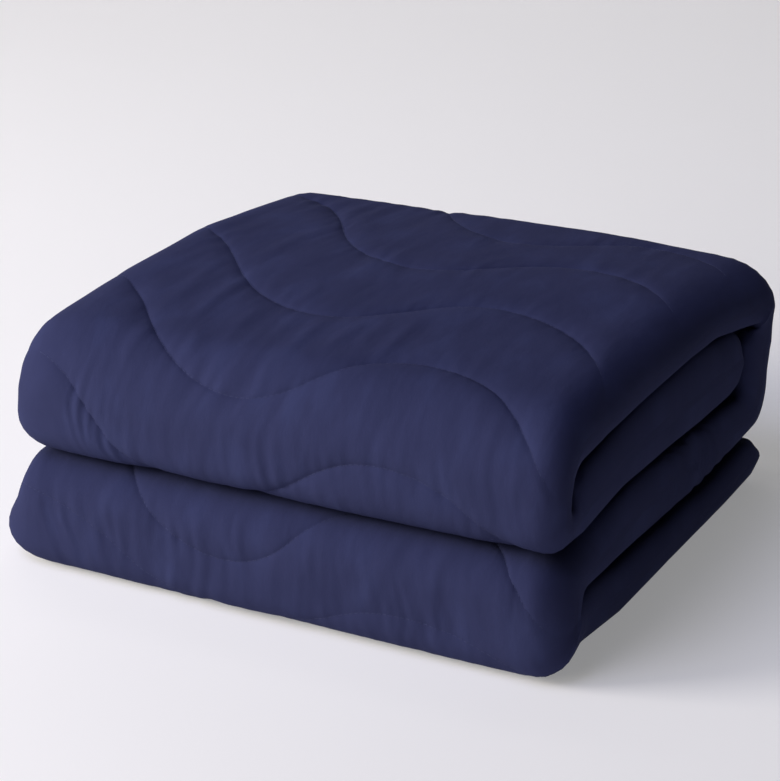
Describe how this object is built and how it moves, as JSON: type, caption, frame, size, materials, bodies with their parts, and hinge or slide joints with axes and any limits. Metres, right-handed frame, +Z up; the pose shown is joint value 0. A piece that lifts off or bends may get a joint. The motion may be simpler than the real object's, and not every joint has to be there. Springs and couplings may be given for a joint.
{
  "type": "folded duvet",
  "caption": "Lightweight quilted duvet folded into a soft, neat stack with rolled side edges and stitched wave channels, for a shelf or the foot of a bed.",
  "frame": {"origin": "middle of the base of the bounding box, on the surface that the duvet lies on", "axes": "+X runs along the front folds to the right end as seen from the front, -Y is the front with the folded edges, +Z is up through the layers"},
  "size_m": [0.5844, 0.5646, 0.2468],
  "materials": {
    "cloth": "matte"
  },
  "bodies": {
    "root": {"duvet": "cloth"}
  },
  "joints": []
}
